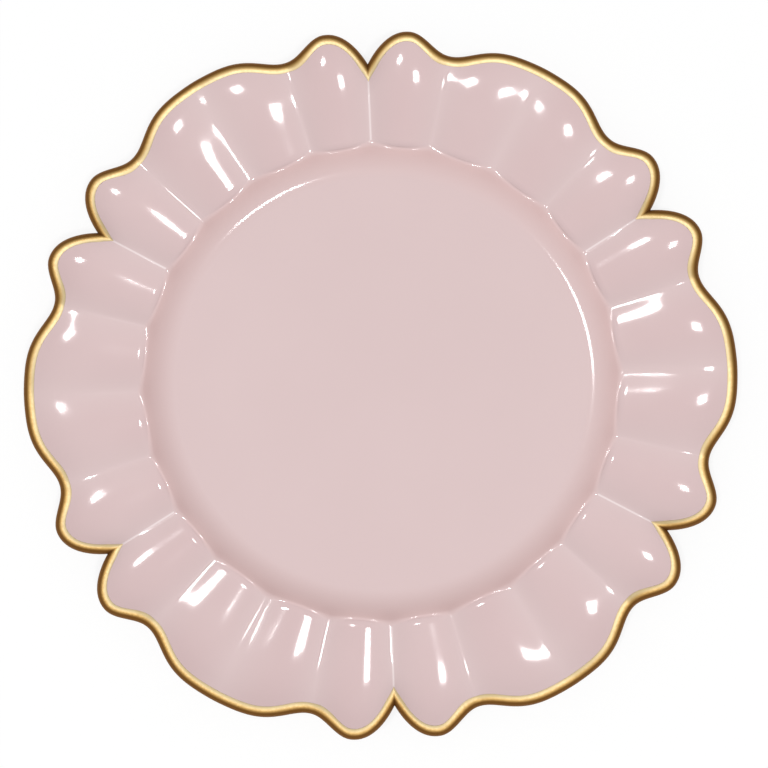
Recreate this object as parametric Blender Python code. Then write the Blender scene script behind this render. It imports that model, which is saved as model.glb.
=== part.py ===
"""A scalloped charger plate: one moulded plate and the gilded band that wraps its edge.

Units are metres and +Z is up. The foot ring stands on z = 0 under the middle of the plate, and one of
the notches of the rim points along +Y. Both pieces are turned from a section drawn at a lobe's crest,
and then pressed into the scallops and flutes by one function, so they fit each other all round.
"""

from math import atan, atan2, cos, hypot, pi, radians, sin, tan

import bmesh
import bpy
from mathutils import Vector

# Overall size and the scalloped outline
PLATE_DIAMETER = 0.330  # across two opposite lobe crests
RIM_WIDTH = 0.0517  # from the shoulder of the well to a lobe's crest
BAYS = 6  # stretches of rim between two notches, each a side lobe, a wide lobe and a side lobe
NOTCH_DEPTH = 0.0158  # from the crests in to a notch
DIP_DEPTH = 0.0091  # from the crests in to the dip between a side lobe and a wide lobe
NOTCH_POWER = 2.15  # how far the side lobe bulges as it leaves the notch
CROWN_POWER = 1.8  # how early the wide lobe fills out after the dip

# Places along half a bay, counted from its notch (0) to its middle (1)
SIDE_CREST_AT = 0.237
DIP_AT = 0.481
CROWN_AT = 0.966

# Section of the well and the rim
WALL = 0.0026  # thickness of the moulding
WELL_DEPTH = 0.0085  # from the shoulder down to the floor of the well
WALL_LEAN = radians(44.7)  # slope of the well's wall
HOLLOW_RUN = 0.0114  # how far the hollow at the foot of the wall reaches in over the floor
SHOULDER_ROUND = 0.0020  # radius under the shoulder
RIM_LEAN = radians(2.25)  # slope of the rim outside the shoulder
LIP_LEAN = radians(26.8)  # slope of the rim at the band
LIP_AT = 0.20  # where the rim starts to curl up, from the shoulder (0) to the band (1)
LIP_POWER = 3.87  # how late the curl comes
RIM_SAG = 0.543  # how much of the curl is lost where the outline comes in

# Foot ring
FOOT_HEIGHT = 0.0020
FOOT_WIDTH = 0.0040
FOOT_INSET = 0.0050  # from the edge of the well's floor in to the ring
FOOT_DRAFT = 0.0004  # taper of each side of the ring

# Flutes, hollowed out between ridges that run from the shoulder to the edge
FLUTE_DEPTH_SIDE = 0.00325  # in the side lobes
FLUTE_DEPTH_WIDE = 0.00261  # in the two halves of the wide lobe
FLUTE_PULL = 0.0018  # how far a flute cuts the shoulder back towards the well
FLUTE_POWER = 2.04  # 2 is a plain parabola across the flute
NOTCH_SOFTNESS = 0.125  # how much of half a flute the ridge at a notch takes up
DIP_SOFTNESS = 0.075  # the same for the ridge at a dip
MIDDLE_SOFTNESS = 0.209  # the same for the ridge in the middle of the wide lobe
FLUTE_FROM = 0.787  # where the flutes begin in the well's hollow, from the floor (0) to the wall (1)
FLUTE_LEAD = 1.6  # how gently they begin there
FADE_FROM = 0.324  # where they start to get shallower, from the shoulder (0) to the band (1)
SIDE_LEFT = 0.768  # share of the side lobes' depth that is left at the band
WIDE_LEFT = 0.535  # the same for the wide lobe

# Turned-down edge and the gilded band that caps it
EDGE_ROUND = 0.0035  # outer radius of the band over the edge
EDGE_WALL = 0.0020  # thickness of the rim and the band together at the edge
EDGE_TURN = radians(95)  # how far the edge turns over, counted from straight up
BAND_WALL = 0.00045  # thickness of the gilded band
HOOK_REACH = 0.0008  # how far the band hooks in under the edge
FIT_GAP = 0.0003  # clearance between the band and the plate
MITRE_LIMIT = 1.70  # the most that the band widens into a notch

# Fineness of the mesh
STEPS_PER_BAY = 28
HOLLOW_STEPS = 3
SHOULDER_STEPS = 2
RIM_STEPS = 5
EDGE_STEPS = 4
BAND_STEPS = 8

# Values worked out from the sizes above
PLATE_RADIUS = PLATE_DIAMETER / 2
SHOULDER_RADIUS = PLATE_RADIUS - RIM_WIDTH
FLOOR_HEIGHT = FOOT_HEIGHT + WALL
SHOULDER_HEIGHT = FLOOR_HEIGHT + WELL_DEPTH
SHOULDER_TOP = SHOULDER_ROUND + WALL
BAND_INNER = EDGE_ROUND - BAND_WALL
CORE_OUTER = BAND_INNER - FIT_GAP
CORE_INNER = EDGE_ROUND - EDGE_WALL
HOOK_TURN = EDGE_TURN + FIT_GAP / CORE_OUTER
BAND_TURN = HOOK_TURN + BAND_WALL / CORE_OUTER
RIM_END = PLATE_RADIUS - EDGE_ROUND * (1 + sin(LIP_LEAN)) - FIT_GAP
RIM_SPAN = RIM_END - SHOULDER_RADIUS
LIP_CLIMB = tan(LIP_LEAN) - tan(RIM_LEAN)
LIP_SPAN = RIM_SPAN * (1 - LIP_AT)

# The straight part of the well's wall, between the hollow at its foot and the shoulder
SHOULDER_RUN = SHOULDER_TOP * (sin(WALL_LEAN) - sin(RIM_LEAN))
SHOULDER_RISE = SHOULDER_TOP * (cos(RIM_LEAN) - cos(WALL_LEAN))
HOLLOW = min(HOLLOW_RUN, 2 * (WELL_DEPTH - SHOULDER_RISE) / tan(WALL_LEAN))
HOLLOW_RISE = HOLLOW * tan(WALL_LEAN) / 2
WALL_TOP = SHOULDER_RADIUS - SHOULDER_RUN
WALL_START = WALL_TOP - (WELL_DEPTH - HOLLOW_RISE - SHOULDER_RISE) / tan(WALL_LEAN)
FLOOR_EDGE = WALL_START - HOLLOW
FLUTE_START = FLOOR_EDGE + HOLLOW * FLUTE_FROM

BLUSH = (0.70, 0.54, 0.53, 1.0)
GOLD = (0.78, 0.56, 0.27, 1.0)


def hollow_point(out):
    """Foot of the well's wall as (radius, height, lean), from the floor (0) to the straight wall (1)."""
    run = HOLLOW * out
    slope = tan(WALL_LEAN) * out
    return FLOOR_EDGE + run, FLOOR_HEIGHT + run * slope / 2, atan(slope)


def shoulder_point(out):
    """Round of the shoulder as (radius, height, lean), from the straight wall (0) to the rim (1)."""
    lean = WALL_LEAN + (RIM_LEAN - WALL_LEAN) * out
    run = SHOULDER_TOP * (sin(WALL_LEAN) - sin(lean))
    drop = SHOULDER_TOP * (cos(RIM_LEAN) - cos(lean))
    return WALL_TOP + run, SHOULDER_HEIGHT - drop, lean


def rim_point(out):
    """Top of the rim as (radius, height, lean), from the shoulder (0) to the band (1)."""
    lip = max(0.0, out - LIP_AT) / (1 - LIP_AT)
    run = RIM_SPAN * out
    rise = run * tan(RIM_LEAN) + LIP_CLIMB * LIP_SPAN * lip**LIP_POWER / LIP_POWER
    slope = tan(RIM_LEAN) + LIP_CLIMB * lip ** (LIP_POWER - 1)
    return SHOULDER_RADIUS + run, SHOULDER_HEIGHT + rise, atan(slope)


def top_section():
    """Top of the plate as (radius, height, lean), from the edge of the well's floor to the band."""
    points = [hollow_point(step / HOLLOW_STEPS) for step in range(HOLLOW_STEPS + 1)]
    points += [shoulder_point(step / SHOULDER_STEPS) for step in range(SHOULDER_STEPS + 1)]
    points += [rim_point(step / RIM_STEPS) for step in range(1, RIM_STEPS + 1)]
    return points


def underside(points):
    """The points of a top section moved down through the wall, square to it."""
    moved = []
    for radius, height, lean in points:
        out = max(0.0, (radius - SHOULDER_RADIUS) / RIM_SPAN)
        wall = WALL + (EDGE_WALL - WALL) * out
        moved.append((radius + wall * sin(lean), height - wall * cos(lean)))
    return moved


def edge_arc(size, turn, end_turn, steps):
    """Arc about the middle of the turned-down edge, between two angles counted from straight up."""
    rim_height = rim_point(1.0)[1] + FIT_GAP * tan(LIP_LEAN)
    centre_radius = PLATE_RADIUS - EDGE_ROUND
    centre_height = rim_height - EDGE_ROUND * cos(LIP_LEAN)
    points = []
    for step in range(steps + 1):
        here = turn + (end_turn - turn) * step / steps
        points.append((centre_radius + size * sin(here), centre_height + size * cos(here)))
    return points


def foot_section():
    """Foot ring as (radius, height), from its outer root round to its inner root."""
    outer = FLOOR_EDGE - FOOT_INSET
    inner = outer - FOOT_WIDTH
    return [
        (outer, FOOT_HEIGHT),
        (outer - FOOT_DRAFT, 0.0),
        (inner + FOOT_DRAFT, 0.0),
        (inner, FOOT_HEIGHT),
    ]


def plate_section():
    """Outline of half the plate, from the middle of the floor round to the middle underneath."""
    top = top_section()
    rim_end, rim_height, lean = top[-1]
    step_down = EDGE_ROUND - CORE_OUTER
    outline = [(0.0, FLOOR_HEIGHT)]
    outline += [(radius, height) for radius, height, _ in top]
    outline.append((rim_end + step_down * sin(lean), rim_height - step_down * cos(lean)))
    outline += edge_arc(CORE_OUTER, -LIP_LEAN, EDGE_TURN, EDGE_STEPS)
    outline += edge_arc(CORE_INNER, EDGE_TURN, -LIP_LEAN, EDGE_STEPS // 2)
    outline += reversed(underside(top))
    outline += foot_section()
    outline.append((0.0, FOOT_HEIGHT))
    return outline


def band_section():
    """Closed outline of the gilded band, a cap over the edge that hooks in under it."""
    hook = CORE_OUTER - HOOK_REACH
    outline = edge_arc(EDGE_ROUND, -LIP_LEAN, BAND_TURN, BAND_STEPS)
    outline += edge_arc(hook, BAND_TURN, HOOK_TURN, 1)
    outline += edge_arc(BAND_INNER, HOOK_TURN, -LIP_LEAN, BAND_STEPS)
    return outline


def half_cosine(share):
    """Ease from 0 to 1 with level ends."""
    return (1 - cos(pi * share)) / 2


def outline_radius(place):
    """Radius of the scalloped edge at a place along half a bay, 0 at the notch and 1 at the middle."""
    if place < SIDE_CREST_AT:
        return PLATE_RADIUS - NOTCH_DEPTH * (1 - place / SIDE_CREST_AT) ** NOTCH_POWER
    if place < DIP_AT:
        return PLATE_RADIUS - DIP_DEPTH * half_cosine((place - SIDE_CREST_AT) / (DIP_AT - SIDE_CREST_AT))
    rest = max(0.0, 1 - (place - DIP_AT) / (CROWN_AT - DIP_AT))
    return PLATE_RADIUS - DIP_DEPTH * half_cosine(rest**CROWN_POWER)


def edge_stretch(place):
    """How much wider a band of even width is along the radius than square to the edge."""
    step = 0.001
    low = max(0.0, place - step)
    high = min(1.0, place + step)
    climb = (outline_radius(high) - outline_radius(low)) / ((high - low) * pi / BAYS)
    return min(MITRE_LIMIT, hypot(1.0, climb / outline_radius(place)))


def flute_hollow(across, softness):
    """Shape across a flute, from 0 on its ridges (-1 and 1) to 1 in its middle (0)."""
    soft = hypot(1 - abs(across), softness) - softness
    full = hypot(1.0, softness) - softness
    return 1 - (1 - soft / full) ** FLUTE_POWER


def flute_share(out, left):
    """Share of a flute's depth on the way from the shoulder (0) to the band (1), where some is left."""
    faded = max(0.0, (out - FADE_FROM) / (1 - FADE_FROM))
    return 1 - (1 - left) * faded**2


def rim_sag(out, radius):
    """How far a place across the rim sinks where it is pressed in to a smaller radius."""
    landed = max(0.0, (radius - SHOULDER_RADIUS) / RIM_SPAN)
    return RIM_SAG * (rim_point(out)[1] - rim_point(landed)[1])


def press(bm):
    """Press a turned blank into the scallops and the flutes.

    A bay holds four flutes of equal steps. Their ridges lie on the notches, the dips and the middle of
    the wide lobe, so the steps are spread to bring the ridges there. The flutes run out in the hollow at
    the foot of the well's wall.
    """
    for vert in bm.verts:
        radius = hypot(vert.co.x, vert.co.y)
        bay = (atan2(vert.co.y, vert.co.x) - pi / 2) * BAYS / (2 * pi)
        share = bay - round(bay)
        even = min(1.0, 2 * abs(share))
        if even < 0.5:
            place = even * 2 * DIP_AT
            across = 4 * even - 1
            softness = NOTCH_SOFTNESS if across < 0 else DIP_SOFTNESS
            depth = FLUTE_DEPTH_SIDE
            left = SIDE_LEFT
        else:
            place = DIP_AT + (2 * even - 1) * (1 - DIP_AT)
            across = 4 * even - 3
            softness = DIP_SOFTNESS if across < 0 else MIDDLE_SOFTNESS
            depth = FLUTE_DEPTH_WIDE
            left = WIDE_LEFT
        lead = min(1.0, max(0.0, (radius - FLUTE_START) / (SHOULDER_RADIUS - FLUTE_START)))
        hollow = lead**FLUTE_LEAD * flute_hollow(across, softness)
        out = min(1.0, max(0.0, (radius - SHOULDER_RADIUS) / RIM_SPAN))
        stretch = edge_stretch(place)
        pressed = min(radius, SHOULDER_RADIUS) - hollow * FLUTE_PULL
        sunk = hollow * depth * flute_share(out, left)
        if radius > SHOULDER_RADIUS:
            edge = outline_radius(place) - (PLATE_RADIUS - RIM_END) * stretch
            pressed += out * (edge - pressed)
            sunk += rim_sag(out, pressed)
        pressed += max(0.0, radius - RIM_END) * stretch
        side = 1 if share >= 0 else -1
        angle = pi / 2 + (round(bay) + side * place / 2) * 2 * pi / BAYS
        vert.co = Vector((pressed * cos(angle), pressed * sin(angle), vert.co.z - sunk))


def turned_object(name, outline, closed, material):
    """Turn a section about Z, press it and make it an object."""
    bm = bmesh.new()
    verts = [bm.verts.new((radius, 0.0, height)) for radius, height in outline]
    pairs = list(zip(verts, verts[1:]))
    if closed:
        pairs.append((verts[-1], verts[0]))
    edges = [bm.edges.new(pair) for pair in pairs]
    bmesh.ops.spin(
        bm,
        geom=verts + edges,
        axis=(0.0, 0.0, 1.0),
        cent=(0.0, 0.0, 0.0),
        angle=2 * pi,
        steps=BAYS * STEPS_PER_BAY,
        use_merge=True,
    )
    bmesh.ops.remove_doubles(bm, verts=bm.verts[:], dist=0.00001)
    press(bm)
    bmesh.ops.recalc_face_normals(bm, faces=bm.faces[:])
    mesh = bpy.data.meshes.new(name)
    bm.to_mesh(mesh)
    bm.free()
    mesh.shade_smooth()
    mesh.set_sharp_from_angle(angle=radians(40))
    mesh.materials.append(material)
    piece = bpy.data.objects.new(name, mesh)
    bpy.context.scene.collection.objects.link(piece)


def finish(name, colour, roughness, metallic):
    """A plain Principled material."""
    material = bpy.data.materials.new(name)
    material.use_nodes = True
    shader = material.node_tree.nodes["Principled BSDF"]
    shader.inputs["Base Color"].default_value = colour
    shader.inputs["Roughness"].default_value = roughness
    shader.inputs["Metallic"].default_value = metallic
    return material


def main():
    for old in list(bpy.data.objects):
        bpy.data.objects.remove(old, do_unlink=True)
    blush = finish("blush_lacquer", BLUSH, roughness=0.12, metallic=0.0)
    gold = finish("gold_leaf", GOLD, roughness=0.3, metallic=1.0)
    turned_object("plate_body", plate_section(), closed=False, material=blush)
    turned_object("gold_rim", band_section(), closed=True, material=gold)


main()
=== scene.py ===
"""Looks of a scalloped charger plate: a blush lacquered plate and the gilded band round its edge.

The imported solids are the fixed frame. Both of them are replaced by finer meshes of the same shape, which
are turned from a section at a lobe's crest and pressed into the scallops and flutes by one press. Units
are metres, +Z is up, and one of the notches of the rim points along +Y.
"""

import logging
from dataclasses import dataclass, field
from enum import Enum
from functools import cache
from math import atan, atan2, cos, hypot, pi, radians, sin, tan

import bmesh
import bpy
from mathutils import Matrix, Vector


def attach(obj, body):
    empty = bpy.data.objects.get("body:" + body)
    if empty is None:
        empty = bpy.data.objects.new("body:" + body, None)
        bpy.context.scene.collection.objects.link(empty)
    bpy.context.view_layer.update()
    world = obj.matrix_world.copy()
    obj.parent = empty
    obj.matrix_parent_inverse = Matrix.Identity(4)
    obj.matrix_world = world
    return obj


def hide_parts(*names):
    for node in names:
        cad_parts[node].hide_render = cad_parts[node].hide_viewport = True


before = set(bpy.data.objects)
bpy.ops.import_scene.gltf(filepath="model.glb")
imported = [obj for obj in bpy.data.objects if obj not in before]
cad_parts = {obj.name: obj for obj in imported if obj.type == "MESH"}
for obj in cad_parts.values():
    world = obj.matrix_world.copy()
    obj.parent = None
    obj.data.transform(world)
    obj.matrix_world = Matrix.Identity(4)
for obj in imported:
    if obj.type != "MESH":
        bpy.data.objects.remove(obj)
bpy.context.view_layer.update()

LOG = logging.getLogger("charger_plate")

# A pair is a point of a section as radius and height, a range or a size in two directions. A lean point is a
# point of a section with its slope, a triple is a place or a direction, and colours are linear.
Pair = tuple[float, float]
LeanPoint = tuple[float, float, float]
Triple = tuple[float, float, float]
Colour = tuple[float, float, float]

WHITE: Colour = (1.0, 1.0, 1.0)
WHOLE: Pair = (0.0, 1.0)


class Slot(Enum):
    """Material slots of the record."""

    BLUSH = "blush_lacquer"
    GOLD = "gold_leaf"


class Flute(Enum):
    """The two kinds of flute in a bay of the rim."""

    SIDE = "side lobe"
    WIDE = "half of the wide lobe"


class Trait(Enum):
    """Attributes that the meshes carry for their materials."""

    HOLLOW = "flute_hollow"
    WALL = "well_wall"
    CREST = "notch_crest"
    TURN = "edge_turn"


def half_cosine(share: float) -> float:
    """Ease from 0 to 1 with level ends."""
    return (1 - cos(pi * share)) / 2


@dataclass(frozen=True)
class Scallops:
    """Outline of the rim from above: bays between notches, each a side lobe, a wide lobe and a side lobe.

    Places run along half a bay, from its notch at 0 to its middle at 1.
    """

    plate_diameter: float = 0.330
    bays: int = 6
    notch_depth: float = 0.0158
    dip_depth: float = 0.0091
    notch_power: float = 2.15
    crown_power: float = 1.8
    side_crest_at: float = 0.237
    dip_at: float = 0.481
    crown_at: float = 0.966
    mitre_limit: float = 1.70

    @property
    def crest_radius(self) -> float:
        """Radius of the lobes' crests."""
        return self.plate_diameter / 2

    def radius(self, place: float) -> float:
        """Radius of the edge.

        Args:
            place: Place along half a bay.

        Returns:
            Distance from the plate's axis to its edge.
        """
        if place < self.side_crest_at:
            left = 1 - place / self.side_crest_at
            return self.crest_radius - self.notch_depth * left**self.notch_power
        if place < self.dip_at:
            share = (place - self.side_crest_at) / (self.dip_at - self.side_crest_at)
            return self.crest_radius - self.dip_depth * half_cosine(share)
        rest = max(0.0, 1 - (place - self.dip_at) / (self.crown_at - self.dip_at))
        return self.crest_radius - self.dip_depth * half_cosine(rest**self.crown_power)

    def stretch(self, place: float) -> float:
        """How much wider a band of even width is along the radius than square to the edge.

        Args:
            place: Place along half a bay.

        Returns:
            A factor from 1 to mitre_limit.
        """
        step = 0.001
        low = max(0.0, place - step)
        high = min(1.0, place + step)
        climb = (self.radius(high) - self.radius(low)) / ((high - low) * pi / self.bays)
        return min(self.mitre_limit, hypot(1.0, climb / self.radius(place)))


@dataclass(frozen=True)
class Flutes:
    """Hollows between the ridges that run from the shoulder of the well to the edge.

    They cut the shoulder back by their pull. They are deepest over the inner part of the rim, and get
    shallower from fade_from on, counted from the shoulder at 0 to the band at 1. The softness of a ridge
    is a share of half a flute.
    """

    side_depth: float = 0.00325
    wide_depth: float = 0.00261
    side_left: float = 0.768
    wide_left: float = 0.535
    fade_from: float = 0.324
    lead_power: float = 1.6
    pull: float = 0.0018
    power: float = 2.04
    notch_softness: float = 0.125
    dip_softness: float = 0.075
    middle_softness: float = 0.209

    def hollow(self, kind: Flute, across: float) -> float:
        """Shape across a flute, with its ridges softened.

        Args:
            kind: Kind of flute.
            across: Place across the flute, -1 on its ridge nearer to the notch, 0 in its middle and 1 on
                its other ridge.

        Returns:
            0 on a ridge and 1 in the bottom of the flute.
        """
        if kind is Flute.SIDE:
            softness = self.notch_softness if across < 0 else self.dip_softness
        else:
            softness = self.dip_softness if across < 0 else self.middle_softness
        soft = hypot(1 - abs(across), softness) - softness
        full = hypot(1.0, softness) - softness
        return 1 - (1 - soft / full) ** self.power

    def depth(self, kind: Flute, out: float) -> float:
        """Depth of a flute on its way out.

        Args:
            kind: Kind of flute.
            out: Place across the rim, 0 at the shoulder and 1 at the band.

        Returns:
            The depth in the middle of the flute.
        """
        faded = min(1.0, max(0.0, (out - self.fade_from) / (1 - self.fade_from))) ** 2
        if kind is Flute.SIDE:
            return self.side_depth * (1 - (1 - self.side_left) * faded)
        return self.wide_depth * (1 - (1 - self.wide_left) * faded)


@dataclass(frozen=True)
class Section:
    """Section of the plate and its band at a lobe's crest.

    The hollow at the foot of the well's wall is a parabola that reaches in over the floor by hollow_run.
    The flutes run out at a share of it, flute_from. The rim rises evenly from the shoulder at 0 to lip_at,
    and from there curls up to lip_lean at the band, where its place is 1. Where the outline comes in, the
    edge sinks by a share, the sag, of what the curl is lower there.
    """

    crest_radius: float
    rim_width: float = 0.0517
    wall: float = 0.0026
    well_depth: float = 0.0085
    wall_lean: float = radians(44.7)
    hollow_run: float = 0.0114
    shoulder_round: float = 0.0020
    flute_from: float = 0.787
    rim_lean: float = radians(2.25)
    lip_lean: float = radians(26.8)
    lip_at: float = 0.20
    lip_power: float = 3.87
    sag: float = 0.543
    foot_height: float = 0.0020
    foot_width: float = 0.0040
    foot_inset: float = 0.0050
    foot_draft: float = 0.0004
    foot_round: float = 0.0005
    edge_round: float = 0.0035
    edge_wall: float = 0.0020
    edge_turn: float = radians(95)
    band_wall: float = 0.00045
    hook_reach: float = 0.0008
    fit_gap: float = 0.0003

    @property
    def shoulder_radius(self) -> float:
        """Radius of the shoulder on a ridge."""
        return self.crest_radius - self.rim_width

    @property
    def floor_height(self) -> float:
        """Height of the well's floor."""
        return self.foot_height + self.wall

    @property
    def shoulder_height(self) -> float:
        """Height of the shoulder on a ridge."""
        return self.floor_height + self.well_depth

    @property
    def band_inner(self) -> float:
        """Inner radius of the band over the edge."""
        return self.edge_round - self.band_wall

    @property
    def core_outer(self) -> float:
        """Outer radius of the plate's own edge under the band."""
        return self.band_inner - self.fit_gap

    @property
    def core_inner(self) -> float:
        """Inner radius of the plate's turned-down edge."""
        return self.edge_round - self.edge_wall

    @property
    def hook_turn(self) -> float:
        """Angle from straight up where the band's hook begins under the edge."""
        return self.edge_turn + self.fit_gap / self.core_outer

    @property
    def band_turn(self) -> float:
        """Angle from straight up where the band ends."""
        return self.hook_turn + self.band_wall / self.core_outer

    @property
    def rim_end(self) -> float:
        """Radius where the rim meets the band."""
        return self.crest_radius - self.edge_round * (1 + sin(self.lip_lean)) - self.fit_gap

    @property
    def rim_span(self) -> float:
        """Width of the rim from the shoulder to the band."""
        return self.rim_end - self.shoulder_radius

    @property
    def shoulder_top(self) -> float:
        """Radius of the shoulder's round on the top side."""
        return self.shoulder_round + self.wall

    @property
    def wall_top(self) -> float:
        """Radius where the straight wall of the well ends."""
        return self.shoulder_radius - self.shoulder_top * (sin(self.wall_lean) - sin(self.rim_lean))

    @property
    def shoulder_rise(self) -> float:
        """Height of the shoulder's round."""
        return self.shoulder_top * (cos(self.rim_lean) - cos(self.wall_lean))

    @property
    def wall_start(self) -> float:
        """Radius where the straight wall of the well begins."""
        hollow_rise = self.hollow_run * tan(self.wall_lean) / 2
        return self.wall_top - (self.well_depth - hollow_rise - self.shoulder_rise) / tan(self.wall_lean)

    @property
    def floor_edge(self) -> float:
        """Radius where the flat floor of the well ends."""
        return self.wall_start - self.hollow_run

    @property
    def flute_start(self) -> float:
        """Radius in the well's hollow where the flutes run out."""
        return self.floor_edge + self.hollow_run * self.flute_from

    @property
    def edge_centre(self) -> Pair:
        """Middle of the turned-down edge as radius and height."""
        rim_height = self.rim(1.0)[1] + self.fit_gap * tan(self.lip_lean)
        return self.crest_radius - self.edge_round, rim_height - self.edge_round * cos(self.lip_lean)

    def hollow(self, out: float) -> LeanPoint:
        """Hollow at the foot of the well's wall.

        Args:
            out: Place across the hollow, 0 at the floor and 1 at the wall.

        Returns:
            The point as radius, height and slope.
        """
        slope = tan(self.wall_lean) * out
        run = self.hollow_run * out
        return self.floor_edge + run, self.floor_height + run * slope / 2, atan(slope)

    def shoulder(self, out: float) -> LeanPoint:
        """Round of the shoulder.

        Args:
            out: Place on the round, 0 at the wall and 1 at the rim.

        Returns:
            The point as radius, height and slope.
        """
        lean = self.wall_lean + (self.rim_lean - self.wall_lean) * out
        run = self.shoulder_top * (sin(self.wall_lean) - sin(lean))
        drop = self.shoulder_top * (cos(self.rim_lean) - cos(lean))
        return self.wall_top + run, self.shoulder_height - drop, lean

    def steepness(self, radius: float) -> float:
        """How near a place is to the well's straight wall.

        Args:
            radius: Radius of the place.

        Returns:
            1 on the wall, down to 0 on the floor and on the rim.
        """
        rising = (radius - self.floor_edge) / self.hollow_run
        ending = (self.shoulder_radius - radius) / (self.shoulder_radius - self.wall_top)
        return max(0.0, min(1.0, rising, ending))

    def rim(self, out: float) -> LeanPoint:
        """Top side of the rim.

        Args:
            out: Place across the rim, 0 at the shoulder and 1 at the band.

        Returns:
            The point as radius, height and slope.
        """
        run = self.rim_span * out
        climb = tan(self.lip_lean) - tan(self.rim_lean)
        lip = max(0.0, out - self.lip_at) / (1 - self.lip_at)
        curl = climb * self.rim_span * (1 - self.lip_at) * lip**self.lip_power / self.lip_power
        slope = tan(self.rim_lean) + climb * lip ** (self.lip_power - 1)
        height = self.shoulder_height + run * tan(self.rim_lean) + curl
        return self.shoulder_radius + run, height, atan(slope)

    def sunk(self, out: float, radius: float) -> float:
        """How far the rim sinks where the outline brings it in.

        Args:
            out: Place across the rim, 0 at the shoulder and 1 at the band.
            radius: Radius that the place is pressed to.

        Returns:
            The depth, 0 on a lobe's crest.
        """
        landed = max(0.0, (radius - self.shoulder_radius) / self.rim_span)
        return self.sag * (self.rim(out)[1] - self.rim(landed)[1])

    def top(self, steps: int) -> list[LeanPoint]:
        """Top side from the edge of the well's floor to the band.

        Args:
            steps: Chords in the hollow, in the shoulder and in each half of the rim.

        Returns:
            Points as radius, height and slope.
        """
        shares = [step / steps for step in range(steps + 1)]
        points = [self.hollow(share) for share in shares] + [self.shoulder(share) for share in shares]
        return points + [self.rim(step / (2 * steps)) for step in range(1, 2 * steps + 1)]

    def underside(self, steps: int) -> list[Pair]:
        """Underside of the wall and the rim, from the band in to the edge of the floor.

        Args:
            steps: Chords in the hollow, in the shoulder and in each half of the rim.

        Returns:
            Points as radius and height.
        """
        points = []
        for radius, height, lean in reversed(self.top(steps)):
            out = max(0.0, (radius - self.shoulder_radius) / self.rim_span)
            wall = self.wall + (self.edge_wall - self.wall) * out
            points.append((radius + wall * sin(lean), height - wall * cos(lean)))
        return points

    def edge(self, size: float, turn: float, end_turn: float, steps: int) -> list[Pair]:
        """Arc about the middle of the turned-down edge.

        Args:
            size: Radius of the arc.
            turn: First angle, counted outwards from straight up.
            end_turn: Last angle.
            steps: Number of chords.

        Returns:
            Points as radius and height.
        """
        centre_radius, centre_height = self.edge_centre
        points = []
        for step in range(steps + 1):
            here = turn + (end_turn - turn) * step / steps
            points.append((centre_radius + size * sin(here), centre_height + size * cos(here)))
        return points

    def rebate(self) -> Pair:
        """Foot of the small step in the rim that the band's inner edge sits in.

        Returns:
            The point as radius and height.
        """
        rim_end, rim_height, lean = self.rim(1.0)
        step_down = self.edge_round - self.core_outer
        return rim_end + step_down * sin(lean), rim_height - step_down * cos(lean)

    def foot(self) -> list[Pair]:
        """Foot ring with softened corners, from its outer root to its inner root.

        Returns:
            Points as radius and height.
        """
        outer = self.floor_edge - self.foot_inset
        inner = outer - self.foot_width
        soft = self.foot_round
        side = soft * self.foot_draft / self.foot_height
        return [
            (outer + soft, self.foot_height),
            (outer, self.foot_height - soft),
            (outer - self.foot_draft + side, soft),
            (outer - self.foot_draft - soft / 4, soft / 4),
            (outer - self.foot_draft - soft, 0.0),
            (inner + self.foot_draft + soft, 0.0),
            (inner + self.foot_draft + soft / 4, soft / 4),
            (inner + self.foot_draft - side, soft),
            (inner, self.foot_height - soft),
            (inner - soft, self.foot_height),
        ]


@dataclass(frozen=True)
class Seat:
    """Where a line of turned points lands on the scalloped rim.

    Attributes:
        angle: Angle about the plate's axis.
        outline: Radius of the edge there.
        stretch: How much wider the band is along the radius than square to the edge.
        kind: Kind of flute.
        hollow: 0 on a ridge and 1 in the bottom of a flute.
        aside: Angle away from the nearest notch.
    """

    angle: float
    outline: float
    stretch: float
    kind: Flute
    hollow: float
    aside: float


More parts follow.
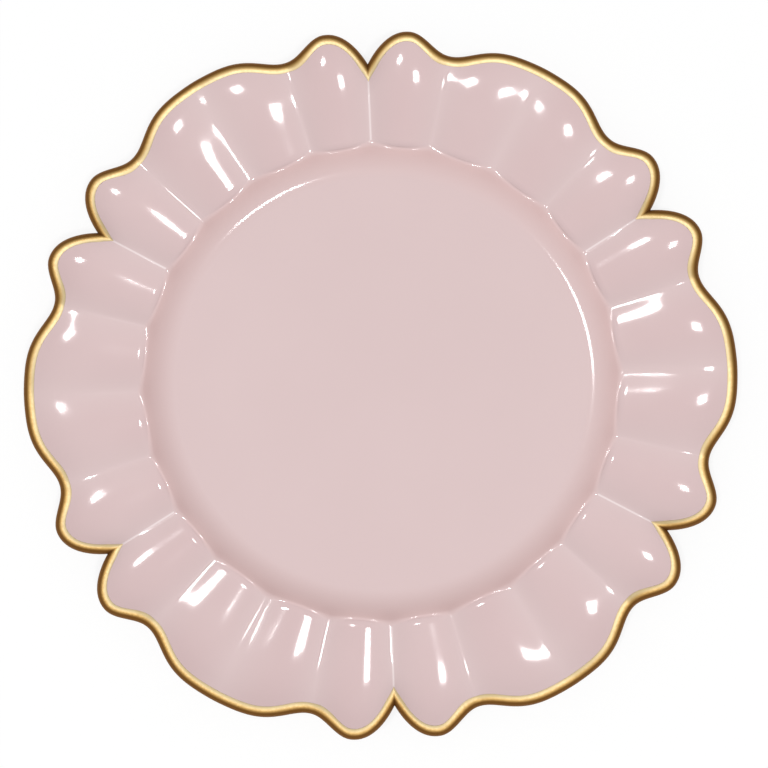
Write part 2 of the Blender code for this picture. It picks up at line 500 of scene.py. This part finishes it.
@dataclass(frozen=True)
class Press:
    """Press that gives a turned blank its scallops and flutes.

    Points of the blank share a seat where their angles agree to angle_digits.
    """

    scallops: Scallops
    section: Section
    flutes: Flutes
    angle_digits: int = 5

    @cache
    def seat(self, angle: float) -> Seat:
        """Spread the even steps of a turned blank over the flutes, closest at the ridges.

        Args:
            angle: Angle of a point of the blank.

        Returns:
            Its seat on the scalloped rim.
        """
        dip = self.scallops.dip_at
        bay = (angle - pi / 2) * self.scallops.bays / (2 * pi)
        share = bay - round(bay)
        even = min(1.0, 2 * abs(share))
        if even < 0.5:
            across = sin(pi / 2 * (4 * even - 1))
            place = dip * (1 + across) / 2
            kind = Flute.SIDE
        else:
            across = sin(pi / 2 * (4 * even - 3))
            place = dip + (1 - dip) * (1 + across) / 2
            kind = Flute.WIDE
        side = 1 if share >= 0 else -1
        turned = pi / 2 + (round(bay) + side * place / 2) * 2 * pi / self.scallops.bays
        return Seat(
            angle=turned,
            outline=self.scallops.radius(place),
            stretch=self.scallops.stretch(place),
            kind=kind,
            hollow=self.flutes.hollow(kind, across),
            aside=place * pi / self.scallops.bays,
        )

    def apply(self, bm: bmesh.types.BMesh) -> None:
        """Press a turned blank and write its traits on the vertices.

        The notch crest is the way to the nearest notch's ridge, and it is long wherever there is no ridge.

        Args:
            bm: The blank, turned about Z.
        """
        section = self.section
        shoulder = section.shoulder_radius
        flute_start = section.flute_start
        rim_end = section.rim_end
        hollow_layer = bm.verts.layers.float.new(Trait.HOLLOW.value)
        wall_layer = bm.verts.layers.float.new(Trait.WALL.value)
        crest_layer = bm.verts.layers.float.new(Trait.CREST.value)
        for vert in bm.verts:
            radius = hypot(vert.co.x, vert.co.y)
            seat = self.seat(round(atan2(vert.co.y, vert.co.x), self.angle_digits))
            lead = min(1.0, max(0.0, (radius - flute_start) / (shoulder - flute_start)))
            out = min(1.0, max(0.0, (radius - shoulder) / section.rim_span))
            hollow = lead**self.flutes.lead_power * seat.hollow
            pressed = min(radius, shoulder) - hollow * self.flutes.pull
            sunk = hollow * self.flutes.depth(seat.kind, out)
            if radius > shoulder:
                edge = seat.outline - (section.crest_radius - rim_end) * seat.stretch
                pressed += out * (edge - pressed)
                sunk += section.sunk(out, pressed)
            pressed += max(0.0, radius - rim_end) * seat.stretch
            vert.co = Vector((pressed * cos(seat.angle), pressed * sin(seat.angle), vert.co.z - sunk))
            vert[hollow_layer] = hollow
            vert[wall_layer] = section.steepness(radius)
            vert[crest_layer] = seat.aside * pressed if out > 0 else section.rim_width


class Graph:
    """A node tree with short calls to add nodes and link them."""

    def __init__(self, tree: bpy.types.NodeTree) -> None:
        """Start from an empty tree."""
        self.tree = tree
        tree.nodes.clear()

    def add(
        self, kind: str, inputs: dict[str | int, object] | None = None, **settings: object
    ) -> bpy.types.Node:
        """Add a node.

        Args:
            kind: Type of the node, without the ShaderNode at its front.
            inputs: Values or sockets for its inputs, by name or number.
            **settings: Properties of the node.

        Returns:
            The new node.
        """
        prefix = "" if kind.startswith("Node") else "ShaderNode"
        node = self.tree.nodes.new(prefix + kind)
        for key, value in settings.items():
            setattr(node, key, value)
        for key, value in (inputs or {}).items():
            if isinstance(value, bpy.types.NodeSocket):
                self.tree.links.new(value, node.inputs[key])
            else:
                node.inputs[key].default_value = value
        return node

    def trait(self, trait: Trait) -> bpy.types.NodeSocket:
        """Read one of the traits that the mesh carries."""
        return self.add("Attribute", attribute_name=trait.value).outputs["Fac"]


def new_material(name: str) -> tuple[bpy.types.Material, Graph]:
    """Start a material.

    Args:
        name: Name of the material.

    Returns:
        The material and its nodes, none so far.
    """
    material = bpy.data.materials.new(name)
    material.use_nodes = True
    return material, Graph(material.node_tree)


class SurfaceMottle:
    """Shared effect: soft clouds and fine grain that no moulded or gilded surface is free of."""

    name: str = "surface_mottle"
    cloud_detail: float = 3.0
    grain_detail: float = 2.0

    @classmethod
    def group(cls) -> bpy.types.NodeTree:
        """Make the node group once.

        Returns:
            A group with inputs Cloud Size and Grain Size in metres and outputs Cloud and Grain from 0 to 1.
        """
        if cls.name in bpy.data.node_groups:
            return bpy.data.node_groups[cls.name]
        tree = bpy.data.node_groups.new(cls.name, "ShaderNodeTree")
        for label in ("Cloud Size", "Grain Size"):
            tree.interface.new_socket(label, in_out="INPUT", socket_type="NodeSocketFloat")
        for label in ("Cloud", "Grain"):
            tree.interface.new_socket(label, in_out="OUTPUT", socket_type="NodeSocketFloat")
        graph = Graph(tree)
        sizes = graph.add("NodeGroupInput")
        place = graph.add("TexCoord").outputs["Object"]
        shown = {}
        for label, detail in (("Cloud", cls.cloud_detail), ("Grain", cls.grain_detail)):
            scale = graph.add("Math", {0: 1.0, 1: sizes.outputs[f"{label} Size"]}, operation="DIVIDE")
            noise = graph.add("TexNoise", {"Vector": place, "Scale": scale.outputs[0], "Detail": detail})
            shown[label] = noise.outputs[0]
        graph.add("NodeGroupOutput", shown)
        return tree

    @classmethod
    def add_to(cls, graph: Graph, cloud_size: float, grain_size: float) -> bpy.types.Node:
        """Place the group in a material.

        Args:
            graph: The material's nodes.
            cloud_size: Size of the clouds in metres.
            grain_size: Size of the grain in metres.

        Returns:
            The group's node.
        """
        sizes = {"Cloud Size": cloud_size, "Grain Size": grain_size}
        return graph.add("Group", sizes, node_tree=cls.group())


def mixed(
    graph: Graph, factor: bpy.types.NodeSocket, first: bpy.types.NodeSocket | Colour, second: Colour
) -> bpy.types.NodeSocket:
    """Blend a plain colour over another colour.

    Args:
        graph: Where the node goes.
        factor: 0 for the first colour and 1 for the second.
        first: Linear colour or the socket of one.
        second: Linear colour.

    Returns:
        The blended colour.
    """
    under = first if isinstance(first, bpy.types.NodeSocket) else (*first, 1.0)
    node = graph.add("Mix", {"Factor": factor, 6: under, 7: (*second, 1.0)}, data_type="RGBA")
    return node.outputs[2]


def ranged(graph: Graph, value: bpy.types.NodeSocket, source: Pair, target: Pair) -> bpy.types.NodeSocket:
    """Map a value smoothly from one range to another, held at the ends.

    Args:
        graph: Where the node goes.
        value: The value.
        source: Range of the value.
        target: Range of the result.

    Returns:
        The mapped value.
    """
    inputs = {0: value, 1: source[0], 2: source[1], 3: target[0], 4: target[1]}
    return graph.add("MapRange", inputs, interpolation_type="SMOOTHSTEP").outputs[0]


@dataclass(frozen=True)
class BlushLacquer:
    """High-gloss blush pink with soft clouds and a faint peel.

    It is a touch deeper in the flutes. The well's wall has painted shade, a warmer pink, and the ridges at
    the notches have a thin painted highlight.
    A span is the part of the noise that is spread over the range named beside it.
    """

    ridge_colour: Colour = (0.720, 0.560, 0.557)
    flute_colour: Colour = (0.692, 0.519, 0.518)
    # Painted shade: the warmer pink of the well's steep wall.
    wall_shade_colour: Colour = (0.742, 0.536, 0.522)
    # Painted highlight: the pale line along the ridges at the notches.
    crest_highlight_colour: Colour = (0.94, 0.82, 0.815)
    crest_highlight_width: Pair = (0.0001, 0.0007)
    crest_highlight_share: float = 0.75
    cloud_colour: Colour = (0.736, 0.574, 0.571)
    cloud_size: float = 0.060
    cloud_span: Pair = (0.35, 0.75)
    cloud_share: Pair = (0.0, 0.5)
    peel_size: float = 0.004
    peel_height: float = 0.000002
    gloss_span: Pair = (0.3, 0.7)
    gloss: Pair = (0.085, 0.115)
    ior: float = 1.5

    def material(self) -> bpy.types.Material:
        """Make the material.

        Returns:
            A procedural material on Object coordinates and the traits of the pressing.
        """
        material, graph = new_material(Slot.BLUSH.value)
        mottle = SurfaceMottle.add_to(graph, self.cloud_size, self.peel_size)
        cloud = ranged(graph, mottle.outputs["Cloud"], self.cloud_span, self.cloud_share)
        # Painted highlight: a pale line that fades out within a fraction of a millimetre of each notch
        # ridge.
        crest = ranged(graph, graph.trait(Trait.CREST), self.crest_highlight_width, (self.crest_highlight_share, 0.0))
        tint = mixed(graph, graph.trait(Trait.HOLLOW), self.ridge_colour, self.flute_colour)
        tint = mixed(graph, cloud, tint, self.cloud_colour)
        # Painted shade: blend to a warmer pink where the well's wall is steep.
        tint = mixed(graph, graph.trait(Trait.WALL), tint, self.wall_shade_colour)
        tint = mixed(graph, crest, tint, self.crest_highlight_colour)
        gloss = ranged(graph, mottle.outputs["Cloud"], self.gloss_span, self.gloss)
        bump = graph.add("Bump", {"Height": mottle.outputs["Grain"], "Distance": self.peel_height})
        shader = graph.add(
            "BsdfPrincipled",
            {"Base Color": tint, "Roughness": gloss, "Normal": bump.outputs[0], "IOR": self.ior},
        )
        graph.add("OutputMaterial", {"Surface": shader.outputs[0]})
        return material


@dataclass(frozen=True)
class GoldLeaf:
    """Satin gilding with painted shade that deepens through amber to bronze as the edge turns over, away
    from the light.

    A turn is the range of the edge's angle, from straight up, in which a colour comes in.
    """

    leaf_colour: Colour = (0.91, 0.755, 0.455)
    worn_colour: Colour = (0.87, 0.70, 0.395)
    # Painted shade: amber, then bronze, on the side of the edge that turns down.
    amber_shade_colour: Colour = (0.54, 0.34, 0.118)
    amber_shade_turn: Pair = (radians(-26), radians(11))
    bronze_shade_colour: Colour = (0.245, 0.108, 0.024)
    bronze_shade_turn: Pair = (radians(0), radians(28))
    cloud_size: float = 0.010
    worn_span: Pair = (0.35, 0.7)
    grain_size: float = 0.0012
    grain_height: float = 0.000001
    gloss_span: Pair = (0.3, 0.7)
    gloss: Pair = (0.52, 0.60)

    def material(self) -> bpy.types.Material:
        """Make the material.

        Returns:
            A procedural material on Object coordinates and the turn of the edge.
        """
        material, graph = new_material(Slot.GOLD.value)
        mottle = SurfaceMottle.add_to(graph, self.cloud_size, self.grain_size)
        turn = graph.trait(Trait.TURN)
        worn = ranged(graph, mottle.outputs["Cloud"], self.worn_span, WHOLE)
        tint = mixed(graph, worn, self.leaf_colour, self.worn_colour)
        # Painted shade: deepen the gold through amber to bronze as the edge turns over.
        for colour, span in ((self.amber_shade_colour, self.amber_shade_turn), (self.bronze_shade_colour, self.bronze_shade_turn)):
            tint = mixed(graph, ranged(graph, turn, span, WHOLE), tint, colour)
        gloss = ranged(graph, mottle.outputs["Grain"], self.gloss_span, self.gloss)
        bump = graph.add("Bump", {"Height": mottle.outputs["Grain"], "Distance": self.grain_height})
        shader = graph.add(
            "BsdfPrincipled",
            {"Base Color": tint, "Roughness": gloss, "Normal": bump.outputs[0], "Metallic": 1.0},
        )
        graph.add("OutputMaterial", {"Surface": shader.outputs[0]})
        return material


@dataclass
class TurnedPiece:
    """A piece that is turned from a section and pressed into the scalloped shape.

    Attributes:
        press: Press for the scallops and flutes.
        name: Name of the piece.
        node: Node of the solid that it stands for.
        slot: Material slot of the record, not used.
        flute_steps: Chords across each flute.
        merge_distance: How close the points of a seam or a pole are.
        sharp_angle: Edges that turn by more than this stay sharp.
        piece: The piece once it is built.
    """

    press: Press
    name: str
    node: str
    slot: Slot
    flute_steps: int
    merge_distance: float = field(default=0.000001, kw_only=True)
    sharp_angle: float = field(default=radians(50), kw_only=True)
    piece: bpy.types.Object | None = field(default=None, init=False)

    def turn(self, outline: list[Pair], closed: bool) -> bmesh.types.BMesh:
        """Turn a section about Z.

        Args:
            outline: Points of the section as radius and height.
            closed: Whether the last point joins the first.

        Returns:
            The blank, one bay after another, with its seams and poles merged.
        """
        bm = bmesh.new()
        verts = [bm.verts.new((radius, 0.0, height)) for radius, height in outline]
        pairs = list(zip(verts, verts[1:]))
        if closed:
            pairs.append((verts[-1], verts[0]))
        edges = [bm.edges.new(pair) for pair in pairs]
        bays = self.press.scallops.bays
        steps = len(Flute) * 2 * self.flute_steps
        about = {"axis": (0.0, 0.0, 1.0), "cent": (0.0, 0.0, 0.0)}
        bmesh.ops.spin(bm, geom=verts + edges, angle=2 * pi / bays, steps=steps, **about)
        bay = bm.verts[:] + bm.edges[:] + bm.faces[:]
        rest = 2 * pi * (bays - 1) / bays
        bmesh.ops.spin(bm, geom=bay, angle=rest, steps=bays - 1, use_duplicate=True, **about)
        bmesh.ops.remove_doubles(bm, verts=bm.verts[:], dist=self.merge_distance)
        return bm

    def place(self, bm: bmesh.types.BMesh) -> None:
        """Make the pressed blank an object that stands for its solid.

        Args:
            bm: The pressed blank, which is freed.
        """
        bmesh.ops.recalc_face_normals(bm, faces=bm.faces[:])
        mesh = bpy.data.meshes.new(self.name)
        bm.to_mesh(mesh)
        bm.free()
        mesh.shade_smooth()
        mesh.set_sharp_from_angle(angle=self.sharp_angle)
        self.piece = bpy.data.objects.new(self.name, mesh)
        bpy.context.scene.collection.objects.link(self.piece)
        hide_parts(self.node)
        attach(self.piece, "root")
        LOG.info("%s: %d faces, stands for %s", self.name, len(mesh.polygons), self.node)

    def dress(self, finish: BlushLacquer | GoldLeaf) -> None:
        """Give the piece its finish."""
        self.piece.data.materials.append(finish.material())


@dataclass
class PlateBody(TurnedPiece):
    """The moulded plate: well, shoulder, fluted rim, turned-down edge and foot ring.

    Its steps are chords: top_steps and under_steps in the hollow, in the shoulder and in each half of the
    rim, and edge_steps over each side of the edge.
    """

    name: str = "lacquered_plate"
    node: str = "plate_body"
    slot: Slot = Slot.BLUSH
    flute_steps: int = 28
    top_steps: int = 8
    under_steps: int = 4
    edge_steps: int = 8
    floor_rings: int = 4

    def build(self) -> None:
        """Turn, press and place the plate."""
        section = self.press.section
        rings = [section.floor_edge * ring / self.floor_rings for ring in range(self.floor_rings)]
        outline = [(radius, section.floor_height) for radius in rings]
        outline += [(radius, height) for radius, height, _ in section.top(self.top_steps)]
        outline.append(section.rebate())
        outline += section.edge(section.core_outer, -section.lip_lean, section.edge_turn, self.edge_steps)
        outline += section.edge(section.core_inner, section.edge_turn, -section.lip_lean, self.edge_steps)
        outline += section.underside(self.under_steps)
        outline += section.foot()
        foot_root = outline[-1][0]
        outline += [(radius, section.foot_height) for radius in reversed(rings) if radius < foot_root]
        bm = self.turn(outline, closed=False)
        self.press.apply(bm)
        self.place(bm)


@dataclass
class GoldRim(TurnedPiece):
    """The gilded band, a cap over the plate's edge that hooks in under it.

    Its leaf runs in over the fitting gap of the solids, so no dark line shows beside the lacquer. Its steps
    are chords over its outer and its inner side.
    """

    name: str = "gilded_band"
    node: str = "gold_rim"
    slot: Slot = Slot.GOLD
    flute_steps: int = 40
    outer_steps: int = 24
    inner_steps: int = 8
    leaf_run: float = 0.00028

    def build(self) -> None:
        """Turn, mark, press and place the band."""
        section = self.press.section
        hook = section.core_outer - section.hook_reach
        start = -section.lip_lean - self.leaf_run / section.edge_round
        outline = section.edge(section.edge_round, start, section.band_turn, self.outer_steps)
        outline += section.edge(hook, section.band_turn, section.hook_turn, 1)
        outline += section.edge(section.band_inner, section.hook_turn, start, self.inner_steps)
        bm = self.turn(outline, closed=True)
        self.mark_turn(bm)
        self.press.apply(bm)
        self.place(bm)

    def mark_turn(self, bm: bmesh.types.BMesh) -> None:
        """Write on each vertex how far the edge has turned over there, 0 straight up and above 0 outwards.

        Args:
            bm: The turned band, before it is pressed.
        """
        centre_radius, centre_height = self.press.section.edge_centre
        layer = bm.verts.layers.float.new(Trait.TURN.value)
        for vert in bm.verts:
            out = hypot(vert.co.x, vert.co.y) - centre_radius
            vert[layer] = atan2(out, vert.co.z - centre_height)


@dataclass(frozen=True)
class Lamp:
    """A small studio lamp that faces the plate.

    Attributes:
        name: Name of the lamp.
        place: Where it hangs, with +Y up the picture.
        size: Width and height of its panel.
        radiance: Brightness of the panel, where 1 is white.
    """

    name: str
    place: Triple
    size: Pair
    radiance: float


@dataclass(frozen=True)
class Studio:
    """White floor, soft dome, two lamps and the camera of the photograph.

    Seen rays meet a floor that glows and takes only a share, floor_share, of the shading, so it shows white
    with a faint shadow. The dome's level goes over its range between the two heights of dome_horizon, which
    are those of a ray of length 1, and so does the haze over haze_height.
    """

    edge_height: float
    picture_turn: float = radians(2.405)
    camera_distance: float = 0.650
    camera_tilt: float = radians(3.31)
    camera_lens: float = 65.90
    camera_near: float = 0.01
    aim: Pair = (0.0014, -0.0016)
    floor_size: float = 30.0
    floor_colour: Colour = (0.80, 0.80, 0.80)
    floor_share: float = 0.25
    floor_glow: float = 0.80
    dome_level: Pair = (0.20, 0.54)
    dome_horizon: Pair = (0.0, 0.45)
    dome_slant: Triple = (-0.12, -0.05, 0.0)
    haze_height: Pair = (0.04, 0.06)
    haze_level: float = 0.88
    lamps: tuple[Lamp, ...] = (
        Lamp("left_lamp", (-1.117, -0.125, 3.80), (0.495, 0.515), 53.0),
        Lamp("right_lamp", (0.897, -1.198, 3.80), (0.588, 0.496), 45.5),
    )

    @property
    def picture_frame(self) -> Matrix:
        """Turn from the picture's frame, with +Y up the picture, to the plate's frame."""
        return Matrix.Rotation(-self.picture_turn, 3, "Z")

    def turned(self, x: float, y: float, z: float) -> Vector:
        """Bring a point from the picture's frame into the plate's frame.

        Args:
            x: To the right of the picture.
            y: Up the picture.
            z: Height over the plate's edge.

        Returns:
            The point in the plate's frame.
        """
        return self.picture_frame @ Vector((x, y, self.edge_height + z))

    def build(self) -> None:
        """Make the floor, the dome, the lamps and the camera."""
        self.lay_floor()
        self.light_dome()
        for lamp in self.lamps:
            self.hang(lamp)
        self.set_camera()
        bpy.context.scene.view_settings.view_transform = "Standard"
        LOG.info("studio: floor, dome, %d lamps, camera", len(self.lamps))

    @staticmethod
    def seen(graph: Graph) -> bpy.types.NodeSocket:
        """Tell the rays that show a background from those that light the plate.

        Args:
            graph: The material's or the world's nodes.

        Returns:
            1 for a ray from the camera, off a gloss or through glass, else 0.
        """
        path = graph.add("LightPath")
        seen = path.outputs["Is Camera Ray"]
        for label in ("Is Glossy Ray", "Is Transmission Ray"):
            seen = graph.add("Math", {0: seen, 1: path.outputs[label]}, operation="MAXIMUM").outputs[0]
        return seen

    def lay_floor(self) -> None:
        """Lay a pale floor that shows white and keeps the plate's shadow."""
        name = "studio_floor"
        bm = bmesh.new()
        bmesh.ops.create_grid(bm, x_segments=1, y_segments=1, size=self.floor_size / 2)
        mesh = bpy.data.meshes.new(name)
        bm.to_mesh(mesh)
        bm.free()
        floor = bpy.data.objects.new(name, mesh)
        bpy.context.scene.collection.objects.link(floor)
        material, graph = new_material(name)
        seen = self.seen(graph)
        plain = graph.add("BsdfDiffuse", {"Color": (*self.floor_colour, 1.0)})
        dim = tuple(channel * self.floor_share for channel in self.floor_colour)
        shaded = graph.add("BsdfDiffuse", {"Color": (*dim, 1.0)})
        glow = graph.add("Emission", {"Strength": self.floor_glow})
        white = graph.add("AddShader", {0: shaded.outputs[0], 1: glow.outputs[0]})
        shown = graph.add("MixShader", {0: seen, 1: plain.outputs[0], 2: white.outputs[0]})
        graph.add("OutputMaterial", {"Surface": shown.outputs[0]})
        mesh.materials.append(material)

    def light_dome(self) -> None:
        """Light the scene with a soft dome, dark at its horizon and a little brighter to the lower left.

        A thin pale haze at the horizon carries on the floor.
        """
        world = bpy.data.worlds.new("studio_dome")
        world.use_nodes = True
        bpy.context.scene.world = world
        graph = Graph(world.node_tree)
        ray = graph.add("TexCoord").outputs["Generated"]
        height = graph.add("SeparateXYZ", {0: ray}).outputs["Z"]
        level = ranged(graph, height, self.dome_horizon, self.dome_level)
        slant = self.picture_frame @ Vector(self.dome_slant)
        towards = graph.add("VectorMath", {0: ray, 1: slant}, operation="DOT_PRODUCT").outputs["Value"]
        more = graph.add("Math", {0: level, 1: towards, 2: level}, operation="MULTIPLY_ADD").outputs[0]
        haze = ranged(graph, height, self.haze_height, WHOLE[::-1])
        share = graph.add("Math", {0: haze, 1: self.seen(graph)}, operation="MULTIPLY").outputs[0]
        shown = graph.add("Mix", {0: share, 2: more, 3: self.haze_level}).outputs[0]
        sky = graph.add("Background", {"Color": (*WHITE, 1.0), "Strength": shown})
        graph.add("OutputWorld", {"Surface": sky.outputs[0]})

    def hang(self, lamp: Lamp) -> None:
        """Hang a lamp over the plate.

        Args:
            lamp: The lamp.
        """
        light = bpy.data.lights.new(lamp.name, "AREA")
        light.shape = "RECTANGLE"
        light.size, light.size_y = lamp.size
        light.energy = lamp.radiance * pi * light.size * light.size_y
        place = self.turned(*lamp.place)
        facing = (-place).to_track_quat("-Z", "Y").to_matrix()
        hung = bpy.data.objects.new(lamp.name, light)
        hung.matrix_world = Matrix.Translation(place) @ facing.to_4x4()
        bpy.context.scene.collection.objects.link(hung)

    def set_camera(self) -> None:
        """Set the camera almost straight over the plate, as in the photograph."""
        down = self.camera_distance * cos(self.camera_tilt)
        back = self.camera_distance * sin(self.camera_tilt)
        eye = self.turned(0.0, -back, down)
        away = (eye - self.turned(*self.aim, 0.0)).normalized()
        up_picture = self.picture_frame @ Vector((0.0, 1.0, 0.0))
        across = up_picture.cross(away).normalized()
        turn = Matrix((across, away.cross(across), away)).transposed()
        name = "photo_camera"
        camera = bpy.data.cameras.new(name)
        camera.lens = self.camera_lens
        camera.clip_start = self.camera_near
        view = bpy.data.objects.new(name, camera)
        view.matrix_world = Matrix.Translation(eye) @ turn.to_4x4()
        bpy.context.scene.collection.objects.link(view)
        bpy.context.scene.camera = view


def main() -> None:
    """Build the plate, its band and the studio, and report each piece."""
    logging.basicConfig(level=logging.INFO, format="%(name)s: %(message)s")
    scallops = Scallops()
    press = Press(scallops, Section(scallops.crest_radius), Flutes())
    plate = PlateBody(press)
    plate.build()
    plate.dress(BlushLacquer())
    band = GoldRim(press)
    band.build()
    band.dress(GoldLeaf())
    Studio(press.section.edge_centre[1]).build()


if __name__ == "__main__":
    main()
